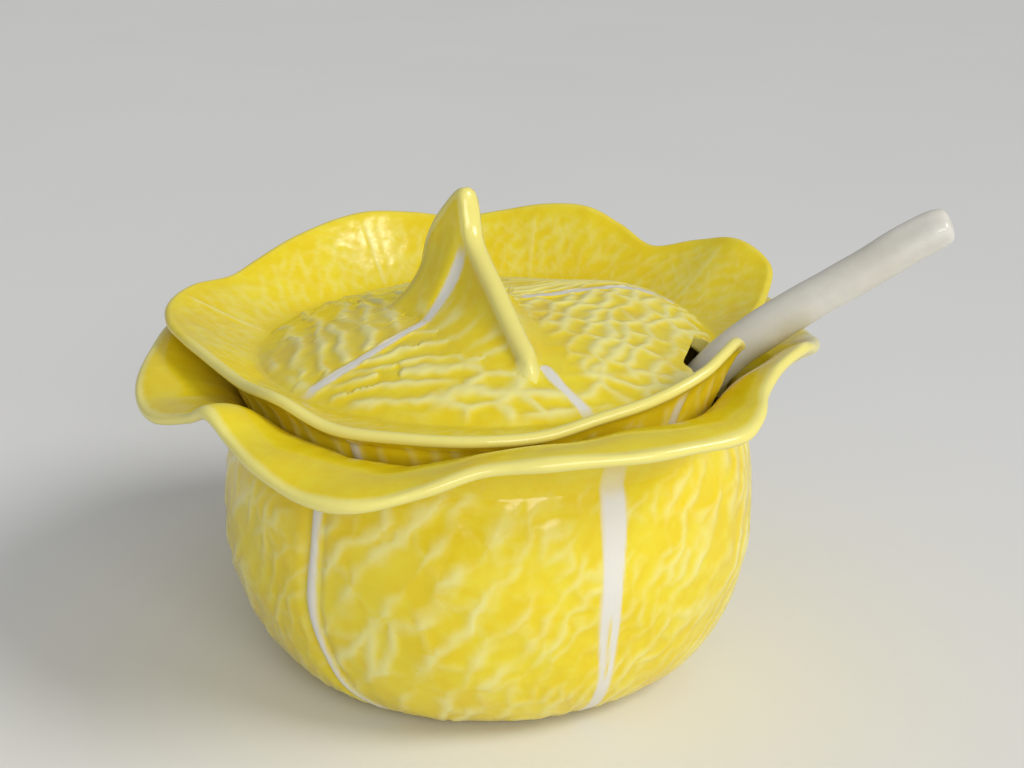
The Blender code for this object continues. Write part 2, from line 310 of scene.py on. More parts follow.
# %% [markdown]
# ## The bowl's section
#
# Cut the bowl from top to bottom and the wall is one line 5 mm thick: flat foot, round belly, a short
# neck, then the leaf edge that flares out. Only the flare changes much round the bowl. It droops to a
# low lobe at the front left, dips where the ladle leaves, and swells into a shelf beside it.

# %% Bowl measures
WALL = 5.0
BODY = ((76.0, 2.5), (88.5, 5.2), (99.5, 12.4), (108.5, 25.0), (115.0, 42.0), (118.8, 60.0),
        (119.6, 78.0), (118.2, 96.0), (115.2, 110.0), (113.0, 120.0))
BOWL_RIM = (                     # azimuth, radius and height of the leaf edge
    (-170, 151, 150), (-148, 157, 146), (-126, 150, 150), (-98, 151, 148), (-88, 152, 145),
    (-75, 157, 138), (-64, 156, 136), (-55, 149, 142), (-49, 148, 148), (-42, 150, 142),
    (-34, 156, 137), (-25, 162, 133), (-17, 163, 133), (-8, 156, 139), (0, 151, 145),
    (10, 153, 148), (28, 159, 149.5), (38, 161, 150), (43, 157, 154), (48, 149, 158),
    (55, 145, 163), (64, 147, 165), (71, 147, 160), (80, 146, 155), (96, 146, 147),
    (112, 152, 147), (132, 150, 151), (152, 157, 147))
LEAF_MIDDLE = -8.5
CHANNEL = (77.0, 13.0, 4.0)      # the dip under the ladle: azimuth, half width, depth
SHELF = (28.0, 20.0, 6.0)        # the fuller leaf beside it

BOWL_STEPS = 600
FOOT_RINGS, BELLY_RINGS, UNDER_RINGS, LIP_RINGS, TOP_RINGS, INNER_RINGS = 4, 98, 9, 7, 21, 14


# %% One bowl section
def bowl_section(azimuth, rim):
    """Radius and height of each ring at one azimuth, from the foot's middle round to the floor."""
    leaf = 1.6 * math.cos(math.radians((azimuth - LEAF_MIDDLE) * 5))
    body = np.array(BODY)
    body[:, 0] += leaf * np.maximum(0.0, np.sin(np.pi * np.minimum(body[:, 1] / 120.0, 1.0)))
    belly = through(body, 120)
    neck = belly[-1]
    lift = min(max((rim[1] - 131.0) / 30.0, 0.0), 1.0)
    dip = CHANNEL[2] * math.exp(-((azimuth - CHANNEL[0]) / CHANNEL[1]) ** 2)
    swell = SHELF[2] * math.exp(-((azimuth - SHELF[0]) / SHELF[1]) ** 2)
    flare = bezier(neck, (neck[0] + 2.0 + 0.5 * swell, neck[1] + 12.0 + 0.8 * swell - dip),
                   (rim[0] - (24.0 - 6.0 * lift) - 1.4 * swell, rim[1] + 9.0 - 15.0 * lift + swell - dip),
                   rim, 50)
    line = np.vstack([belly, flare[1:]])
    side = left_of(line)
    side[0] = (0.0, 1.0)
    inside, outside = line + side * WALL / 2, line - side * WALL / 2
    heading = math.atan2(*(line[-1] - line[-2])[::-1])
    lip = half_turn(line[-1], WALL / 2, heading + math.pi / 2, LIP_RINGS)[::-1]
    foot = [(r, 0.0) for r in np.linspace(0.0, outside[0][0], FOOT_RINGS, endpoint=False)]
    floor = [(r, WALL) for r in np.linspace(inside[0][0], 0.0, 4)[1:]]
    belly_end = len(belly) - 1
    return np.vstack([
        foot, evenly(outside[:belly_end + 1], BELLY_RINGS), evenly(outside[belly_end:], UNDER_RINGS + 1)[1:],
        lip, evenly(inside[belly_end:][::-1], TOP_RINGS),
        evenly(inside[:belly_end + 1][::-1], INNER_RINGS + 1)[1:], floor])


bowl_turns = -180.0 + 360.0 * np.arange(BOWL_STEPS) / BOWL_STEPS
bowl_rims = closed_curve(BOWL_RIM, bowl_turns)
bowl_sections = np.array([bowl_section(a, rim) for a, rim in zip(bowl_turns, bowl_rims)])
print("bowl sections", bowl_sections.shape)

# %% [markdown]
# ## Ribs and veins on the bowl
#
# Five white ribs run down the bowl where the leaves meet. The one at the front left is a narrow bead
# sunk in a crease; the one at the front right is a flat painted band with a thin streak of yellow low
# down. The net between them is wide and slanting on the left of each leaf and finer near the band.
# We work it out on the belly laid flat: millimetres from the rib on the left, and height.

# %% Bowl ribs
RIBS = (-109.0, -37.0, 25.5, 98.0, 174.0)    # azimuths
BANDS = (25.5, 174.0)                        # which of them are flat bands
BELLY_MM = 2.094                             # length of one degree on the belly, mm
BEAD_HALF, BAND_HALF = 2.9, 5.4
VEIN_SLANT = 52.0                            # degrees from level
VEIN_LIFT = 1.15                             # mm


def rib_shift(height):
    """How far a rib wanders sideways, in degrees: it curls to the right under the foot."""
    return 1.1 * np.sin(height / 14.0 + 0.6) + 11.0 * np.exp(-(height / 12.0) ** 2)


def belly_relief(azimuth, height):
    """Outward lift (mm), vein and rib strength (0 to 1) over the belly."""
    lift = 0.5 * wave(azimuth * BELLY_MM, height, 46.0, 1)
    veins = np.zeros(azimuth.shape)
    ribs = np.zeros(azimuth.shape)
    crease = np.zeros(azimuth.shape)
    for number, rib in enumerate(RIBS):
        right = RIBS[(number + 1) % len(RIBS)]
        span = ((right - rib) % 360.0) * BELLY_MM
        bend = rib_shift(height) if rib not in BANDS else 0.5 * np.sin(height / 14.0)
        across = (turn_from(azimuth, rib) - bend) * BELLY_MM
        band = rib in BANDS
        half = BAND_HALF * (0.72 + 0.28 * ease(35.0, 95.0, height)) if band else BEAD_HALF
        half = half + 0.35 * np.sin(height / 9.0 + number)
        edge = 1.0 - ease(half - 0.9, half + 0.7, np.abs(across))
        streak = 0.0
        if band:
            streak = np.exp(-(across / 0.7) ** 2) * ease(28, 36, height) * (1 - ease(58, 66, height))
        ribs = np.maximum(ribs, edge * (1.0 - 0.85 * streak))
        if band:
            lift = lift + 0.7 * edge
        else:
            round_top = np.sqrt(np.maximum(0.0, 1.0 - (across / (half + 0.6)) ** 2))
            lift = lift + 1.5 * round_top - 1.7 * np.exp(-((across + 4.2) / 3.6) ** 2)
            lift = lift - 0.8 * np.exp(-((across - 4.0) / 3.0) ** 2)
            crease = np.maximum(crease, np.exp(-((np.abs(across) - 4.0) / 2.6) ** 2))
        u = np.mod((azimuth - rib) * BELLY_MM, 360.0 * BELLY_MM)
        here = u < span
        slant = math.radians(VEIN_SLANT)
        bend_u = u + 3.2 * wave(u, height, 38.0, number + 2) + 1.3 * wave(u, height, 15.0, number + 9)
        bend_v = height + 3.2 * wave(u, height, 34.0, number + 5) + 1.3 * wave(u, height, 13.0, number + 7)
        along = bend_u * math.cos(slant) + bend_v * math.sin(slant)
        aside = -bend_u * math.sin(slant) + bend_v * math.cos(slant)
        wide = veins_of(along, aside, 25.0, 14.5, 5.0, number + 3, 0.55)
        fine = veins_of(along, aside, 13.0, 9.5, 4.0, number + 23, 0.65)
        long = veins_of(along, aside, 42.0, 9.0, 4.0, number + 43, 0.35)
        near_band = ease(span - 62.0, span - 30.0, u) if not band else 1.0 - ease(34.0, 60.0, u)
        streaky = ease(30.0, 70.0, u) * ease(20.0, 60.0, u - 0.4 * height) if band else np.zeros(u.shape)
        strength = np.clip(0.8 + 0.4 * wave(u, height, 31.0, number + 31), 0.3, 1.0)
        here_veins = (wide * (1 - near_band) + fine * near_band * 0.75) * (1 - streaky) + long * streaky
        veins = np.where(here, here_veins * strength, veins)
    lift = lift + VEIN_LIFT * veins * (1.0 - np.maximum(ribs, 0.7 * crease))
    return lift, veins * (1.0 - ribs), ribs


print("relief on a rib", [round(float(v[0]), 2) for v in belly_relief(np.array([-36.6]), np.array([70.0]))])

# %% [markdown]
# ## Build the bowl
#
# Spin the rings, put each point on its section, then push the belly's points out along the section's
# own outward direction by the relief. The flare's top is smooth, with a few soft bumps near the lid.


# %% Bowl piece
def outward(sections):
    """Unit directions out of the solid for every point of an array of closed sections."""
    ahead = np.gradient(sections, axis=1)
    ahead /= np.maximum(np.linalg.norm(ahead, axis=2), 1e-9)[:, :, None]
    return np.stack([ahead[:, :, 1], -ahead[:, :, 0]], axis=2)


def place_rings(piece, station, turn, azimuths, sections):
    flat = sections[turn, station]
    angle = np.radians(azimuths[turn])
    x, y = flat[:, 0] * np.sin(angle), -flat[:, 0] * np.cos(angle)
    move(piece.data, np.column_stack([x, y, flat[:, 1]]) * MM)


belly_from, belly_to = FOOT_RINGS, FOOT_RINGS + BELLY_RINGS
top_from = belly_to + UNDER_RINGS + LIP_RINGS
top_to = top_from + TOP_RINGS
azimuth_grid = np.repeat(bowl_turns[:, None], bowl_sections.shape[1], axis=1)
number_grid = np.arange(bowl_sections.shape[1])[None, :] * np.ones((BOWL_STEPS, 1))
height_grid = bowl_sections[:, :, 1]

lift, veins, ribs = belly_relief(azimuth_grid, height_grid)
on_belly = ((number_grid >= belly_from) & (number_grid < belly_to + UNDER_RINGS)).astype(float)
on_belly *= ease(1.0, 9.0, height_grid)
under = ease(belly_to - 6, belly_to + 5, number_grid)
on_top = ((number_grid >= top_from) & (number_grid < top_to)).astype(float)
to_lid = ease(top_from + 6, top_to - 2, number_grid) * on_top
bumps = veins_of(azimuth_grid * BELLY_MM, number_grid * 1.6, 13.0, 11.0, 5.0, 77, 1.0) * to_lid
soft = wave(azimuth_grid * BELLY_MM, number_grid * 2.0, 30.0, 12) * (on_top + under) * 0.3
roll = np.exp(-((number_grid - (belly_to + UNDER_RINGS + 0.4 * LIP_RINGS)) / 3.4) ** 2)
push = lift * on_belly * (1.0 - under) + 0.8 * bumps + 0.25 * roll
push += soft * (1 - ease(top_to - 3, top_to, number_grid))
bowl_sections = bowl_sections + outward(bowl_sections) * push[:, :, None]

bowl, bowl_station, bowl_turn = rings("bowl_glazed", bowl_sections.shape[1], BOWL_STEPS)
place_rings(bowl, bowl_station, bowl_turn, bowl_turns, bowl_sections)
lip_from = belly_to + UNDER_RINGS
lip_edge = ease(lip_from - 2.5, lip_from + 0.5, number_grid)
lip_edge *= 1 - ease(top_from - 0.5, top_from + 1.8, number_grid)
bowl_veins = 0.85 * veins * on_belly * (1 - under) + 0.55 * bumps
bowl_ribs = ribs * on_belly * (1 - under)
mark_all(bowl, *(grid[bowl_turn, bowl_station] for grid in (bowl_veins, bowl_ribs, lip_edge)))
face_out(bowl)
print("bowl faces", len(bowl.data.polygons))

# %% [markdown]
# ## The lid's section
#
# The lid is one leaf: a low dome, a valley round it, then an edge that rises into lobes at the back
# and left and stays low at the front. The edge is rolled over like a pastry rim, and behind it the
# skirt drops into the bowl's mouth.

# %% Lid measures
DOME_RADIUS, DOME_EDGE, DOME_RISE = 104.0, 146.0, 19.0
LID_WALL = 4.6
SKIRT_TOP, SKIRT_FOOT, SKIRT_WALL = (115.1, 135.5), (109.0, 121.0), 4.6
LID_RIM = (                      # azimuth, radius and height of the lid's leaf edge
    (-172, 130, 174), (-162, 133, 177), (-150, 135, 179), (-134, 135, 173), (-122, 136, 166),
    (-115, 139, 162), (-106, 146, 163), (-97, 148, 161.5), (-88, 143, 159.5), (-81, 135, 157),
    (-74, 128, 155), (-66, 123, 153), (-57, 121, 152), (-43, 122, 153.5), (-30, 122, 147.5),
    (-16, 120, 147), (0, 120, 147.5), (11, 120, 149), (21, 121, 154), (32, 124, 159),
    (43, 126, 165.5), (50, 124.5, 169.5), (56, 122, 170), (61, 120, 165.5), (66, 118.5, 160),
    (78, 118, 154), (96, 119, 150), (102, 124, 151),
    (109, 138, 157), (115, 149, 167), (123, 145, 175), (132, 139, 171), (141, 129, 166),
    (150, 131, 174), (158, 131, 181), (168, 130, 181), (178, 130, 177))
LID_STEPS = 560
DOME_RINGS, RISE_RINGS, ROLL_RINGS, HANG_RINGS, SKIRT_RINGS, INSIDE_RINGS, UNDER_DOME_RINGS = (
    72, 20, 9, 16, 12, 7, 12)


def dome_height(radius):
    return DOME_EDGE + DOME_RISE * (1.0 - np.minimum(radius / DOME_RADIUS, 1.0) ** 2.4)


# %% One lid section
def lid_section(rim):
    """Radius and height of each ring, from the dome's top out over the edge and back underneath."""
    radii = np.linspace(0.0, DOME_RADIUS - 4.0, DOME_RINGS)
    dome = np.column_stack([radii, dome_height(radii)])
    valley = np.array((DOME_RADIUS, DOME_EDGE - 0.6))
    edge = np.array(rim)
    rise = bezier(valley, valley + (5.0, -0.4), (valley[0] + 0.55 * (edge[0] - valley[0]),
                  valley[1] + 0.45 * (edge[1] - valley[1])), edge, RISE_RINGS)
    heading = math.atan2(*(edge - rise[-3])[::-1])
    drop = LID_WALL / 2 * np.array((math.sin(heading), -math.cos(heading)))
    roll = half_turn(edge + drop, LID_WALL / 2, heading + math.pi / 2, ROLL_RINGS)
    below = edge + 2 * drop
    hang = bezier(below, ((below[0] + SKIRT_TOP[0]) / 2, below[1] - 3.0),
                  (SKIRT_TOP[0] + 1.0, SKIRT_TOP[1] + 4.0), SKIRT_TOP, HANG_RINGS)
    skirt = evenly((SKIRT_TOP, SKIRT_FOOT), SKIRT_RINGS)[1:]
    foot = half_turn((SKIRT_FOOT[0] - SKIRT_WALL / 2, SKIRT_FOOT[1]), SKIRT_WALL / 2, 0.0, 5)
    inside = through([(SKIRT_FOOT[0] - SKIRT_WALL, SKIRT_FOOT[1]), (102.8, 134.0), (99.0, 139.6),
                      (0.88 * DOME_RADIUS, dome_height(0.88 * DOME_RADIUS) - LID_WALL)], INSIDE_RINGS)
    radii = np.linspace(0.88 * DOME_RADIUS, 0.0, UNDER_DOME_RINGS)[1:]
    under_dome = np.column_stack([radii, dome_height(radii) - LID_WALL])
    return np.vstack([dome, rise, roll, hang, skirt, foot, inside, under_dome])


lid_turns = -180.0 + 360.0 * np.arange(LID_STEPS) / LID_STEPS
lid_rims = closed_curve(LID_RIM, lid_turns)
lid_sections = np.array([lid_section(rim) for rim in lid_rims])
print("lid sections", lid_sections.shape)

# %% [markdown]
# ## Ribs and veins on the lid
#
# On the dome the veins follow the leaf: long ridges fan out from the outer end of the left rib and
# climb the crest, the left side has a herringbone, the right a net of small cells, and fine lines run
# beside the back rib. Four white ribs divide these fields, which hides where one meets the next.

# %% Lid ribs
LID_RIBS = (                     # plan position, mm, of points along each rib, and its half width
    (((-80, -74), (-58, -58), (-45, -45), (-35, -33), (-24, -19), (-14, -11), (-6, -7)), 2.6),
    (((17, 11), (28, 15), (42, 20), (54, 24), (70, 29), (84, 33)), 2.3),
    (((24, -68), (30, -79), (37, -89), (44, -98)), 2.4),
    (((-41, 66), (-47, 76)), 3.4),
)
CREST_LINE = ((23.5, -71.0), (-42.0, 34.0))
FAN_CENTRE = (-140.0, -78.0)


def from_line(x, y, points):
    """Distance from a plan polyline, and how far along it (0 to 1) the nearest point is."""
    line = through(points, 40)
    best = np.full(x.shape, 1e9)
    share = np.zeros(x.shape)
    for k, (px, py) in enumerate(line):
        d = np.hypot(x - px, y - py)
        share = np.where(d < best, k / 39.0, share)
        best = np.minimum(best, d)
    return best, share


def side_of(x, y, start, end):
    """Signed distance from the straight line through two plan points; positive on its right."""
    dx, dy = end[0] - start[0], end[1] - start[1]
    return ((x - start[0]) * dy - (y - start[1]) * dx) / math.hypot(dx, dy)


# %% Veins on the dome
SWELL = (66.0, 34.0, 22.0, 7.0)  # the dome's fuller back right: plan position, spread and lift, mm
CALM_STRIP = ((30, -72), (24, -58), (19, -44), (13, -28))    # smooth glaze beside the crest's foot
DOME_VEIN_LIFT = 1.4


def dome_relief(x, y):
    """Lift (mm), vein and rib strength over the dome, from plan position in mm."""
    bent_x = x + 1.6 * wave(x, y, 26.0, 3) + 0.7 * wave(x, y, 11.0, 4)
    bent_y = y + 1.6 * wave(x, y, 24.0, 5) + 0.7 * wave(x, y, 10.0, 6)
    reach = np.hypot(bent_x - FAN_CENTRE[0], bent_y - FAN_CENTRE[1])
    angle = np.degrees(np.arctan2(bent_y - FAN_CENTRE[1], bent_x - FAN_CENTRE[0]))
    fan = veins_of(reach, angle * 1.9, 75.0, 9.5, 3.4, 5, 0.15)
    cells = veins_of(bent_x * 0.9 + bent_y * 0.4, bent_y - 0.3 * bent_x, 17.0, 13.0, 3.8, 8, 0.9)
    fan = fan + (cells - fan) * ease(-22.0, 2.0, x + 0.25 * (-y - 60.0))
    bone_u, bone_v = bent_y * 0.97 - bent_x * 0.22, bent_x * 0.97 + bent_y * 0.22
    left = veins_of(bone_u, bone_v, 42.0, 11.0, 3.4, 13, 0.35)
    net_u, net_v = bent_y * 0.95 + bent_x * 0.31, bent_x * 0.95 - bent_y * 0.31
    right = veins_of(net_u, net_v, 17.0, 9.5, 3.2, 17, 0.8)
    back_reach = np.hypot(bent_x - 150.0, bent_y - 110.0)
    back_angle = np.degrees(np.arctan2(bent_y - 110.0, bent_x - 150.0))
    back = veins_of(back_reach, back_angle * 2.2, 60.0, 6.0, 2.6, 19, 0.2)
    left_rib, back_rib = LID_RIBS[0][0][:5], LID_RIBS[1][0]
    front_side = ease(-2.5, 2.5, side_of(x, y, left_rib[0], left_rib[-1]))
    right_side = ease(-3.0, 3.0, side_of(x, y, CREST_LINE[1], CREST_LINE[0]) * -1.0)
    near_side = ease(-2.5, 2.5, side_of(x, y, back_rib[0], back_rib[-1]))
    before_crest = ease(-4.0, 4.0, -71.0 - y + 0.1 * x)
    right_field = right * near_side + back * (1 - near_side)
    left_field = fan * front_side + left * (1 - front_side)
    field = right_field * right_side + left_field * (1 - right_side)
    field = field + (cells - field) * before_crest * ease(-10.0, 10.0, x)
    field = field * np.clip(0.95 + 0.3 * wave(x, y, 33.0, 21), 0.5, 1.0)
    foot_away, _ = from_line(x, y, CALM_STRIP)
    field = field * (0.25 + 0.75 * ease(6.0, 15.0, foot_away))
    ribs, lift = np.zeros(x.shape), np.zeros(x.shape)
    for points, half in LID_RIBS:
        away, share = from_line(x, y, points)
        half = half * (1.0 + 0.12 * np.sin(share * 9.0))
        edge = 1.0 - ease(half - 0.8, half + 0.6, away)
        ribs = np.maximum(ribs, edge)
        lift = np.maximum(lift, 1.0 * np.sqrt(np.maximum(0.0, 1.0 - (away / (half + 1.0)) ** 2)))
    swell = SWELL[3] * np.exp(-((x - SWELL[0]) ** 2 + (y - SWELL[1]) ** 2) / (2 * SWELL[2] ** 2))
    return lift + swell + DOME_VEIN_LIFT * field * (1 - ribs), field * (1 - ribs), ribs


# %% Veins on the standing leaf edge and the skirt
LOBE_RIBS = ((-150.0, 1.6), (170.0, 1.2), (125.0, 1.2), (-101.0, 1.2))    # azimuth, half width
LEAF_MM, SKIRT_MM = 2.2, 2.0     # length of one degree on the standing edge and on the skirt, mm
SKIRT_RIBS = ((-27.0, 2.2), (40.0, 2.4), (-90.0, 2.0), (150.0, 2.2))


def lobe_relief(azimuth, climb):
    """Lift and vein strength on the rising edge; climb is mm up from the valley."""
    across = azimuth * LEAF_MM
    bent = across + 1.5 * wave(across, climb, 22.0, 31)
    net = veins_of(climb, bent + 0.6 * climb, 11.0, 8.5, 3.4, 33, 0.8) * 0.45
    for rib, half in LOBE_RIBS:
        away = np.abs(turn_from(azimuth, rib)) * LEAF_MM
        branch = ridge(np.abs(np.mod(climb - 0.75 * away + 100.0, 9.0) - 4.5), 2.6)
        branch = branch * ease(2.0, 6.0, away) * (1 - ease(16.0, 30.0, away))
        net = np.maximum(net, np.maximum(ridge(away, half * 1.5) * 0.8, 0.5 * branch))
    return 0.55 * net, net


def skirt_relief(azimuth, height):
    ribs = np.zeros(azimuth.shape)
    for rib, half in SKIRT_RIBS:
        away = np.abs(turn_from(azimuth, rib)) * SKIRT_MM
        ribs = np.maximum(ribs, 1.0 - ease(half - 0.7, half + 0.6, away))
    folds = veins_of(height, azimuth * SKIRT_MM + 0.15 * height, 30.0, 11.0, 3.2, 41, 0.2) * 0.6
    return 0.8 * ribs + 0.6 * folds * (1 - ribs), folds * (1 - ribs), ribs


print("vein fields ready")

# %% Lid shell
dome_end = DOME_RINGS
rise_end = dome_end + RISE_RINGS
roll_end = rise_end + ROLL_RINGS
hang_end = roll_end + HANG_RINGS + SKIRT_RINGS - 1

turn_grid = np.repeat(lid_turns[:, None], lid_sections.shape[1], axis=1)
ring_grid = np.arange(lid_sections.shape[1])[None, :] * np.ones((LID_STEPS, 1))
radius_grid, height_grid = lid_sections[:, :, 0], lid_sections[:, :, 1]
plan_x = radius_grid * np.sin(np.radians(turn_grid))
plan_y = -radius_grid * np.cos(np.radians(turn_grid))

dome_lift, dome_veins, dome_ribs = dome_relief(plan_x, plan_y)
lobe_lift, lobe_veins = lobe_relief(turn_grid, np.hypot(radius_grid - DOME_RADIUS, height_grid - DOME_EDGE))
skirt_lift, skirt_veins, skirt_ribs = skirt_relief(turn_grid, height_grid)
on_dome = (ring_grid < rise_end) * (1 - ease(DOME_RADIUS - 5, DOME_RADIUS + 3, radius_grid))
on_rise = (ring_grid >= dome_end) * (1 - ease(rise_end - 5, rise_end, ring_grid)) * ease(
    DOME_RADIUS + 1, DOME_RADIUS + 8, radius_grid)
on_skirt = ease(roll_end + 2, roll_end + 7, ring_grid) * (1 - ease(hang_end - 9, hang_end - 5, ring_grid))
lid_roll = np.exp(-((ring_grid - 0.5 * (rise_end + roll_end)) / 4.2) ** 2)
lid_push = -dome_lift * on_dome - lobe_lift * on_rise - skirt_lift * on_skirt - 0.5 * lid_roll
lid_veins = dome_veins * on_dome + lobe_veins * on_rise + skirt_veins * on_skirt
lid_ribs = dome_ribs * on_dome + skirt_ribs * on_skirt
front_edge = 0.45 + 0.55 * ease(-86.0, -70.0, turn_grid) * (1 - ease(64.0, 90.0, turn_grid))
lid_edge = ease(rise_end - 3.5, rise_end, ring_grid) * (1 - ease(roll_end, roll_end + 2.5, ring_grid))
lid_sections = lid_sections + outward(lid_sections) * lid_push[:, :, None]

lid, lid_station, lid_turn = rings("lid_glazed", lid_sections.shape[1], LID_STEPS)
place_rings(lid, lid_station, lid_turn, lid_turns, lid_sections)
mark_all(lid, *(grid[lid_turn, lid_station] for grid in (lid_veins, lid_ribs, lid_edge * front_edge)))
face_out(lid)
print("lid shell faces", len(lid.data.polygons))

# %% [markdown]
# ## The crest
#
# The leaf's heart is pulled up into a leaning fold that serves as the lid's handle. Its top edge is a
# thick roll. Below the roll the left face is hollow, and both faces spread as they reach the dome. We
# run a column of rings along the ridge: each ring is one cut across the fold, sunk a little into the
# lid, and a Boolean union welds it on.

# %% Crest measures
RIDGE = ((20.5, -80.0, 153.5), (18.2, -75.0, 160.5), (16.6, -66.5, 165.5), (13.3, -58.0, 170.0),
         (8.7, -46.0, 176.5), (3.9, -33.0, 184.0), (-1.0, -21.0, 191.0), (-4.2, -13.0, 196.0),
         (-6.3, -8.0, 201.5), (-7.2, -5.0, 208.5), (-7.9, -3.0, 215.0), (-9.4, -0.5, 219.5),
         (-13.0, 4.0, 218.0), (-17.0, 8.0, 212.5), (-22.0, 12.0, 204.5), (-25.4, 15.5, 196.5),
         (-27.4, 18.5, 188.5), (-29.0, 22.0, 180.5), (-32.0, 27.0, 171.5), (-37.0, 33.0, 162.5),
         (-42.5, 38.5, 157.0))
ROLL_HALF = 4.6
CREST_SINK = 2.4
CREST_HOLLOW = 5.2
LEFT_SPREAD, RIGHT_SPREAD = (22.0, 2.8), (25.0, 2.2)     # width of each foot, and how fast it narrows
CREST_CUTS, CREST_SIDES = 118, 72
TURN_SPAN = 20                                           # cuts on each side that share their direction


def crest_cut(rise):
    """One cut across the fold, as (across, up) from its foot; positive across is the right side."""
    half = min(ROLL_HALF, 0.45 * rise)
    stem = rise - half
    heights = np.linspace(0.0, stem, 26)
    shares = heights / stem
    below = stem - heights
    hollow = min(CREST_HOLLOW, 0.16 * rise) * ease(0.0, 6.0, below) * (1 - ease(0.45 * stem, stem, below))
    left_foot, right_foot = (wide * (1 - shares) ** power for wide, power in (LEFT_SPREAD, RIGHT_SPREAD))
    left = np.column_stack([-(half + left_foot - hollow), heights])
    right = np.column_stack([half + right_foot + 0.15 * hollow, heights])
    top = half_turn((0.0, stem), half, math.pi, 14)
    bottom = np.linspace(right[0], left[0], 12)[1:-1]
    return np.vstack([left, top, right[::-1], bottom])


# %% Crest piece
fold = through(RIDGE, CREST_CUTS)
ahead = np.gradient(fold[:, :2], axis=0)
across = np.column_stack([ahead[:, 1], -ahead[:, 0]])
across /= -np.linalg.norm(across, axis=1)[:, None]
padded = np.vstack([np.repeat(across[:1], TURN_SPAN, 0), across, np.repeat(across[-1:], TURN_SPAN, 0)])
average = np.ones(2 * TURN_SPAN + 1) / (2 * TURN_SPAN + 1)
across = np.column_stack([np.convolve(padded[:, k], average, mode="valid") for k in (0, 1)])
across /= np.linalg.norm(across, axis=1)[:, None]        # neighbouring cuts turn slowly, so none cross
cuts = []
for (x, y, z), side in zip(fold, across):
    base = float(dome_height(math.hypot(x, y))) - CREST_SINK
    cut = crest_cut(z - base)
    loop = evenly(np.vstack([cut, cut[:1]]), CREST_SIDES + 1)[:-1]
    cuts.append(np.column_stack([x + side[0] * loop[:, 0], y + side[1] * loop[:, 0], base + loop[:, 1]]))
crest, crest_station, crest_place = skin("crest", cuts)
print("crest rings", len(cuts))

# %% Marks on the crest
fold_line = np.vstack([fold[:1], fold, fold[-1:]])
below_top = fold_line[crest_station, 2] - crest_place[:, 2]
above_dome = crest_place[:, 2] - dome_height(np.hypot(crest_place[:, 0], crest_place[:, 1]))
run = crest_station * 1.45
streaks = veins_of(crest_place[:, 2] + 0.3 * run, run - 0.35 * crest_place[:, 2], 36.0, 7.5, 3.2, 51, 0.2)
climbing = ease(4.0, 14.0, above_dome)
_, foot_veins, foot_ribs = dome_relief(crest_place[:, 0], crest_place[:, 1])
from_ridge = np.min(np.linalg.norm(crest_place[:, None, :] - fold[None, ::2, :], axis=2), axis=1)
right_flank = ease(2.0, 5.0, side_of(crest_place[:, 0], crest_place[:, 1], (20.5, -80.0), (-9.4, -0.5)))
# painted light: the crest's lower right flank, which faces the window light, is painted pale cream and its
# veins are faded
painted_light_flank = right_flank * ease(-0.5, 3.0, above_dome) * (1 - ease(172.0, 186.0, crest_place[:, 2]))
rib_climbs = (1 - ease(188.0, 197.0, crest_place[:, 2])) * ease(3.0, 7.0, below_top) * (1 - right_flank)
face_veins = 0.3 * streaks * climbing * ease(6.0, 12.0, below_top) + 0.7 * foot_veins * (1 - climbing)
roll_edge = 1.0 - ease(5.4, 7.6, from_ridge)
# the edge mark here is the crest's pale roll, plus painted light on the lower right flank
mark_all(crest, face_veins * (1 - 0.8 * painted_light_flank), foot_ribs * rib_climbs,
         np.maximum(roll_edge, 0.55 * painted_light_flank))
face_out(crest)
print("crest faces", len(crest.data.polygons))

# %% [markdown]
# ## Weld and soften
#
# A Boolean leaves a sharp line where two skins meet, but slip-cast clay has none. It also mixes up the
# marks, so we carry those over ourselves: every old point is found again by its place. A point that
# lies on no old one is on the seam. We walk a few rings out from the seam and let smooth_vert relax
# that strip. More passes give a wider fillet.


# %% Booleans that end in a soft seam
SAME_PLACE = 0.000005            # metres


def boolean(target, other, operation):
    """Run an exact Boolean. Points keep the marks they had; points on the new seam have made = 0."""
    before = np.vstack([places(target.data), places(other.data)])
    tree = KDTree(len(before))
    for number, place in enumerate(before):
        tree.insert(place, number)
    tree.balance()
    marks = {name: np.concatenate([read_mark(m.data, name) for m in (target, other)])
             for name in ("vein", "rib", "edge")}
    step = target.modifiers.new(operation.lower(), "BOOLEAN")
    step.operation = operation
    step.solver = "EXACT"
    step.object = other
    bpy.context.view_layer.update()
    result = bpy.data.meshes.new_from_object(target.evaluated_get(bpy.context.evaluated_depsgraph_get()))
    target.modifiers.clear()
    found = [tree.find(place)[1:] for place in places(result)]
    nearest = np.array([number for number, _ in found])
    for name, values in marks.items():
        mark(result, name, values[nearest])
    mark(result, "made", [float(away < SAME_PLACE) for _, away in found])
    old = target.data
    target.data = result
    bpy.data.meshes.remove(old)
    bpy.data.objects.remove(other, do_unlink=True)


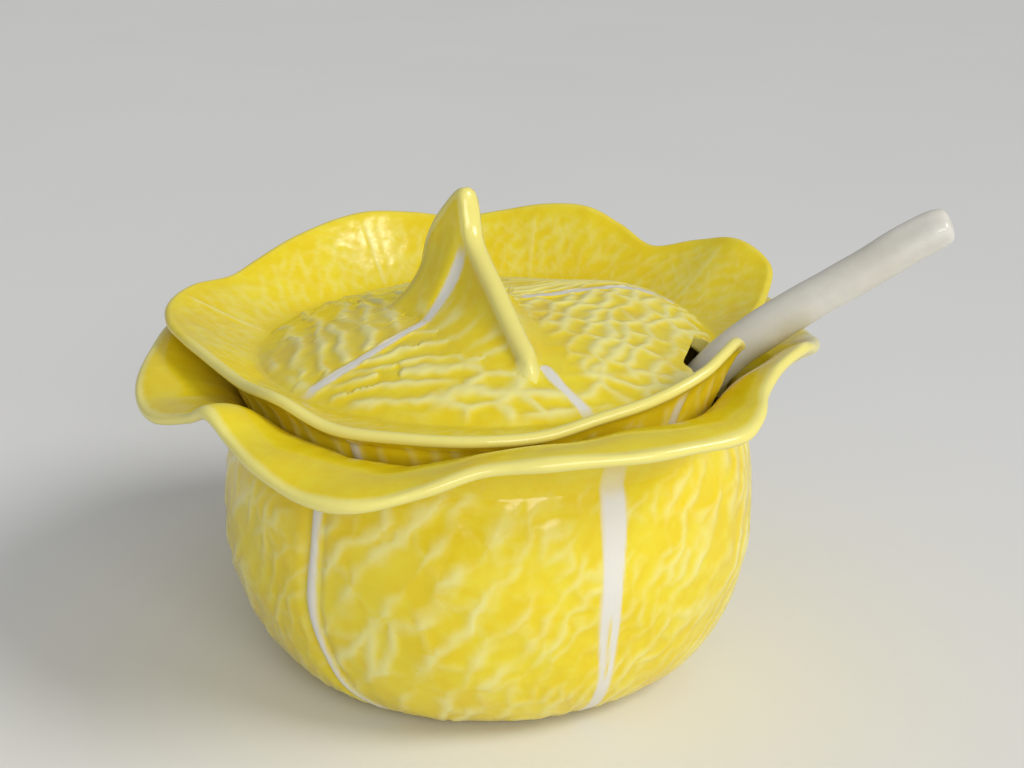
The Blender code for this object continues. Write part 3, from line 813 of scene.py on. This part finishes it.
def soften_seam(piece, reach, passes):
    """Smooth the points within the reach (rings of neighbours) of every seam point."""
    bm = bmesh.new()
    bm.from_mesh(piece.data)
    layers = {name: bm.verts.layers.float.get(name) for name in ("made", "vein", "rib", "edge")}
    seam = [v for v in bm.verts if v[layers["made"]] < 0.5]
    for v in seam:
        known = [e.other_vert(v) for e in v.link_edges if e.other_vert(v)[layers["made"]] > 0.5]
        for name in ("vein", "rib", "edge"):
            v[layers[name]] = sum(o[layers[name]] for o in known) / max(len(known), 1)
    strip = set(seam)
    front = set(seam)
    for _ in range(reach):
        front = {e.other_vert(v) for v in front for e in v.link_edges} - strip
        strip |= front
    bmesh.ops.dissolve_degenerate(bm, dist=0.00002, edges=bm.edges)
    strip = [v for v in strip if v.is_valid]
    for _ in range(passes):
        bmesh.ops.smooth_vert(bm, verts=strip, factor=0.5, use_axis_x=True, use_axis_y=True,
                              use_axis_z=True)
    for v in bm.verts:
        v[layers["made"]] = 1.0
    bmesh.ops.triangulate(bm, faces=[f for f in bm.faces if len(f.verts) > 4])
    bm.to_mesh(piece.data)
    bm.free()
    print(piece.name, "seam points", len(seam), "softened", len(strip))


boolean(lid, crest, "UNION")
soften_seam(lid, 4, 14)

# %% [markdown]
# ## The ladle notch
#
# A wedge cut out of the lid's right side lets the ladle's handle through. It is wide at the skirt and
# closes in upwards, with round inner corners. The cutter is itself a spun column of rings, one ring
# for each height, finely divided so the cut wall has points to round off.

# %% Notch cutter
NOTCH_INNER, NOTCH_MIDDLE, NOTCH_CORNER = 93.0, 78.0, 6.0
NOTCH_LEVELS = 80
NOTCH_SIDES = 220


def notch_ring(height):
    """The wedge's plan at one height: evenly spaced points round it."""
    share = (height - 100.0) / 100.0
    inner = NOTCH_INNER + 0.45 * (height - 151.0)
    turn = math.degrees(NOTCH_CORNER / inner)
    outline = []
    for side, half, inner_half in ((1, 34.0 - 25.7 * share, 14.0), (-1, 14.5 - 6.0 * share, 11.0)):
        start = NOTCH_MIDDLE - side * half
        arc = [(start, 170.0), (start, 113.0)]
        start = NOTCH_MIDDLE - side * min(half, inner_half)
        for angle in np.linspace(0.0, math.pi / 2, 7):
            arc.append((start + side * turn * (1 - math.cos(angle)),
                        inner + NOTCH_CORNER * (1 - math.sin(angle))))
        outline.append(arc if side == 1 else arc[::-1])
    azimuth, radius = np.array(outline[0] + outline[1]).T
    loop = np.column_stack([radius * np.sin(np.radians(azimuth)), -radius * np.cos(np.radians(azimuth))])
    return evenly(np.vstack([loop, loop[:1]]), NOTCH_SIDES + 1)[:-1]


levels = np.linspace(108.0, 196.0, NOTCH_LEVELS)
notch_rings = np.array([np.column_stack([notch_ring(z), np.full(NOTCH_SIDES, z)]) for z in levels])
cutter = skin("notch", notch_rings)[0]
mark_all(cutter, vein=0.2, edge=0.9)
face_out(cutter)
boolean(lid, cutter, "DIFFERENCE")
soften_seam(lid, 2, 5)
face_out(lid)
print("lid triangles", sum(len(p.vertices) - 2 for p in lid.data.polygons))

# %% [markdown]
# ## The ladle
#
# A plain round cup and a handle about 18 mm thick that leans out through the notch and ends in a
# blunt, slightly squared tip. Cup and handle are one casting, so they are welded and softened too.

# %% Ladle measures
LADLE_AZIMUTH = 77.0
CUP_MIDDLE, CUP_FLOOR, CUP_WALL = 12.0, 5.3, 3.4
CUP = ((0.0, 0.0), (8.0, 0.0), (15.0, 0.2), (24.0, 3.4), (30.5, 10.5), (34.6, 21.0), (36.5, 35.0))
HANDLE = (                       # distance out from the middle, height and radius
    (41.0, 29.0, 5.5), (44.0, 33.0, 6.5), (50.0, 46.0, 7.6), (58.0, 66.0, 8.2), (70.0, 92.0, 8.8),
    (87.0, 121.5, 9.2), (107.0, 147.0, 9.3), (124.5, 162.5, 9.2), (143.5, 176.5, 9.0),
    (164.0, 190.5, 8.7), (182.0, 203.5, 8.6), (193.0, 210.5, 8.2), (197.5, 212.6, 7.2))
TIP_ROUND = ((0.93, 0.9), (0.82, 1.7), (0.62, 2.3), (0.34, 2.7))     # share of the radius, mm beyond
CUP_SIDES, HANDLE_SIDES, HANDLE_RINGS = 160, 64, 150

# %% Cup
outer = through(CUP, 40)
side = left_of(outer)
side[0] = (0.0, 1.0)
inner = outer + side * CUP_WALL
inner[:, 0] = np.maximum(inner[:, 0], 0.0)
lip = half_turn((outer[-1] + inner[-1]) / 2, CUP_WALL / 2, math.radians(180.0), 6)[::-1]
cup_line = np.vstack([outer, lip, inner[::-1]])
cup, cup_station, cup_turn = rings("ladle_glazed", len(cup_line), CUP_SIDES)
angle = 2 * math.pi * cup_turn / CUP_SIDES
flat = cup_line[cup_station]
move(cup.data, np.column_stack([CUP_MIDDLE + flat[:, 0] * np.cos(angle), flat[:, 0] * np.sin(angle),
                                CUP_FLOOR + flat[:, 1]]) * MM)
mark_all(cup)
face_out(cup)
print("cup rings", len(cup_line))

# %% Handle
spine = through(HANDLE, HANDLE_RINGS)
ahead = np.gradient(spine[:, :2], axis=0)
ahead /= np.linalg.norm(ahead, axis=1)[:, None]
rise = np.column_stack([-ahead[:, 1], ahead[:, 0]])
angles = 2 * math.pi * np.arange(HANDLE_SIDES) / HANDLE_SIDES
handle_rings = []
for k, ((s, z, radius), up) in enumerate(zip(spine, rise)):
    squared = 0.08 * ease(HANDLE_RINGS - 26, HANDLE_RINGS - 6, k)
    wobble = 1.0 + 0.012 * math.sin(k * 0.21) + 0.008 * math.sin(k * 0.47 + 1.0)
    reach = radius * wobble * (1.0 + squared * np.cos(4 * angles) * 0.9)
    handle_rings.append(np.column_stack([s + up[0] * reach * np.sin(angles), reach * np.cos(angles),
                                         z + up[1] * reach * np.sin(angles)]))
for share, out in TIP_ROUND:
    ring = handle_rings[HANDLE_RINGS - 1]
    middle = ring.mean(0)
    handle_rings.append(middle + (ring - middle) * share + np.array((ahead[-1, 0], 0.0, ahead[-1, 1])) * out)
handle = skin("handle", handle_rings)[0]
mark_all(handle)
face_out(handle)

ladle = cup
boolean(ladle, handle, "UNION")
soften_seam(ladle, 3, 8)
ladle.data.transform(Matrix.Rotation(math.radians(LADLE_AZIMUTH - 90.0), 4, "Z"))
face_out(ladle)
print("ladle triangles", sum(len(p.vertices) - 2 for p in ladle.data.polygons))

# %% [markdown]
# ## Glaze
#
# A glaze is glass over clay. Where it pools, in the cells, the yellow is deep; over veins and edges it
# is stretched thin and the pale body shows. The marks we stored on the points say where that happens;
# the edge mark also paints the crest's lower right flank pale, as painted light where the window light
# falls.
# To keep the node maths readable we wrap sockets in a small class that understands +, - and *.


# %% Shader arithmetic
class Field:
    """An output socket that can be used in ordinary arithmetic."""

    def __init__(self, glaze, socket):
        self.glaze = glaze
        self.socket = socket

    def maths(self, operation, first, second):
        return self.glaze.field("ShaderNodeMath", {"operation": operation}, {0: first, 1: second})

    def __add__(self, other):
        return self.maths("ADD", self, other)

    def __sub__(self, other):
        return self.maths("SUBTRACT", self, other)

    def __rsub__(self, other):
        return self.maths("SUBTRACT", other, self)

    def __mul__(self, other):
        return self.maths("MULTIPLY", self, other)

    __radd__ = __add__
    __rmul__ = __mul__


class Glaze:
    """A material under construction."""

    def __init__(self, name):
        self.material = bpy.data.materials.new(name)
        self.material.use_nodes = True
        self.tree = self.material.node_tree
        self.shader = self.tree.nodes["Principled BSDF"]

    def put(self, socket, value):
        if isinstance(value, Field):
            self.tree.links.new(value.socket, socket)
        else:
            socket.default_value = (*value, 1.0) if socket.type == "RGBA" else value

    def field(self, kind, settings, sockets, output=0):
        node = self.tree.nodes.new(kind)
        for key, value in settings.items():
            setattr(node, key, value)
        for key, value in sockets.items():
            self.put(node.inputs[key], value)
        return Field(self, node.outputs[output])

    def point_mark(self, name):
        return self.field("ShaderNodeAttribute", {"attribute_name": name}, {}, "Fac")

    def noise(self, scale, detail, seed):
        place = self.field("ShaderNodeTexCoord", {}, {}, "Object")
        shift = (seed, seed * 0.7, 0.3 * seed)
        place = self.field("ShaderNodeMapping", {}, {"Vector": place, "Location": shift})
        return self.field("ShaderNodeTexNoise", {}, {"Vector": place, "Scale": scale, "Detail": detail})

    def blend(self, share, first, second):
        return self.field("ShaderNodeMix", {"data_type": "RGBA"}, {0: share, 6: first, 7: second}, 2)

    def soft_step(self, value, low, high):
        return self.field("ShaderNodeMapRange", {"interpolation_type": "SMOOTHSTEP"},
                          {"Value": value, "From Min": low, "From Max": high})


# %% Yellow glaze
DEEP_YELLOW = (0.810, 0.610, 0.006)
YELLOW = (0.830, 0.680, 0.022)
PALE_YELLOW = (0.850, 0.785, 0.290)
# cream for glaze running thin on edges and rolls; on the crest's lower right flank the same cream is painted
# light
EDGE_AND_PAINTED_LIGHT_CREAM = (0.850, 0.785, 0.270)
RIB_WHITE = (0.755, 0.730, 0.660)
DEEP_CREAM = (0.700, 0.665, 0.585)
CREAM = (0.760, 0.735, 0.670)
RIPPLE_HEIGHT = 0.0012           # metres


def yellow_glaze(name):
    glaze = Glaze(name)
    veins, ribs, edges = (glaze.point_mark(m) for m in ("vein", "rib", "edge"))
    cloud = glaze.noise(38.0, 3.0, 1.3)
    mottle = glaze.noise(150.0, 2.0, 4.1)
    pool = glaze.soft_step(cloud * 0.7 + mottle * 0.5, 0.42, 0.78)
    colour = glaze.blend(pool, DEEP_YELLOW, YELLOW)
    thin = glaze.soft_step(veins + (mottle - 0.5) * 0.35 + (cloud - 0.5) * 0.3, 0.12, 0.95)
    colour = glaze.blend(thin * 0.9, colour, PALE_YELLOW)
    # pale cream where the glaze runs thin over edges, and painted light on the crest's lower right flank
    bare_edge_and_painted_light = glaze.soft_step(edges + (mottle - 0.5) * 0.25, 0.25, 1.0)
    colour = glaze.blend(bare_edge_and_painted_light * 0.75, colour, EDGE_AND_PAINTED_LIGHT_CREAM)
    colour = glaze.blend(ribs, colour, RIB_WHITE)
    glaze.put(glaze.shader.inputs["Base Color"], colour)
    ripple = glaze.noise(90.0, 2.0, 7.7)
    pits = glaze.noise(900.0, 1.0, 2.2)
    bump = glaze.field("ShaderNodeBump", {}, {"Height": ripple + pits * 0.08, "Strength": 0.22,
                                              "Distance": RIPPLE_HEIGHT})
    glaze.put(glaze.shader.inputs["Normal"], bump)
    glaze.put(glaze.shader.inputs["Roughness"], 0.13 + mottle * 0.07)
    glaze.shader.inputs["IOR"].default_value = 1.52
    return glaze.material


def cream_glaze(name):
    glaze = Glaze(name)
    cloud = glaze.noise(30.0, 3.0, 2.9)
    mottle = glaze.noise(260.0, 2.0, 5.3)
    colour = glaze.blend(glaze.soft_step(cloud + mottle * 0.3, 0.45, 0.8), DEEP_CREAM, CREAM)
    glaze.put(glaze.shader.inputs["Base Color"], colour)
    ripple = glaze.noise(70.0, 2.0, 3.7)
    bump = glaze.field("ShaderNodeBump", {}, {"Height": ripple, "Strength": 0.2, "Distance": RIPPLE_HEIGHT})
    glaze.put(glaze.shader.inputs["Normal"], bump)
    glaze.put(glaze.shader.inputs["Roughness"], 0.17 + mottle * 0.08)
    return glaze.material


for piece, material in ((bowl, yellow_glaze("bowl_yellow_glaze")), (lid, yellow_glaze("lid_yellow_glaze")),
                        (ladle, cream_glaze("ladle_cream_glaze"))):
    piece.data.materials.clear()
    piece.data.materials.append(material)
print("glazes applied")

# %% [markdown]
# ## Ride and replace
#
# Each finished piece stands for one imported node and moves with its body.

# %% Tie the pieces to the imported model
for piece, node, body, slot in ((bowl, "tureen_bowl", "bowl", "bowl_glaze"),
                                (lid, "lid", "lid", "lid_glaze"),
                                (ladle, "ladle", "ladle", "ladle_glaze")):
    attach(piece, body)
    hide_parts(node)
    print(piece.name, "stands for", node)

# %% [markdown]
# ## Table and light
#
# A pale matt table and soft window light: a sun with a wide angle, high on the right, a broad weak
# lamp at the front, and a pale sky for everything else. Glossy glaze mirrors the lights, so their
# size sets how broad the highlights look.


# %% Floor
def make_floor():
    bm = bmesh.new()
    bmesh.ops.create_grid(bm, x_segments=8, y_segments=8, size=4.0)
    mesh = bpy.data.meshes.new("table_top")
    bm.to_mesh(mesh)
    bm.free()
    floor = add("table_top", mesh)
    paint = Glaze("table_paint")
    cloud = paint.noise(3.0, 3.0, 0.4)
    colour = paint.blend(cloud, (0.80, 0.795, 0.78), (0.84, 0.835, 0.82))
    paint.put(paint.shader.inputs["Base Color"], colour)
    paint.shader.inputs["Roughness"].default_value = 0.85
    paint.shader.inputs["Specular IOR Level"].default_value = 0.15
    mesh.materials.append(paint.material)
    return floor


floor = make_floor()


# %% Lamps
def shine_along(light, direction):
    light.rotation_euler = Vector(direction).to_track_quat("-Z", "Y").to_euler()


def lamp(name, place, target, size, watts, colour):
    data = bpy.data.lights.new(name, "AREA")
    data.shape = "RECTANGLE"
    data.size, data.size_y = size
    data.energy = watts
    data.color = colour
    light = add(name, data)
    light.location = place
    shine_along(light, Vector(target) - Vector(place))


window = bpy.data.lights.new("window_light", "SUN")
window.energy = 1.42
window.angle = math.radians(24.0)
window.color = (1.0, 0.985, 0.95)
shine_along(add("window_light", window), (-0.68, 0.30, -0.67))
lamp("fill_front", (0.65, -2.15, 1.0), (0, 0, 0.1), (1.6, 1.0), 23.0, (0.97, 0.98, 1.0))
world = bpy.data.worlds.new("pale_room")
world.use_nodes = True
world.node_tree.nodes["Background"].inputs["Color"].default_value = (0.90, 0.92, 0.95, 1.0)
world.node_tree.nodes["Background"].inputs["Strength"].default_value = 0.37
bpy.context.scene.world = world
bpy.context.scene.view_settings.view_transform = "Standard"
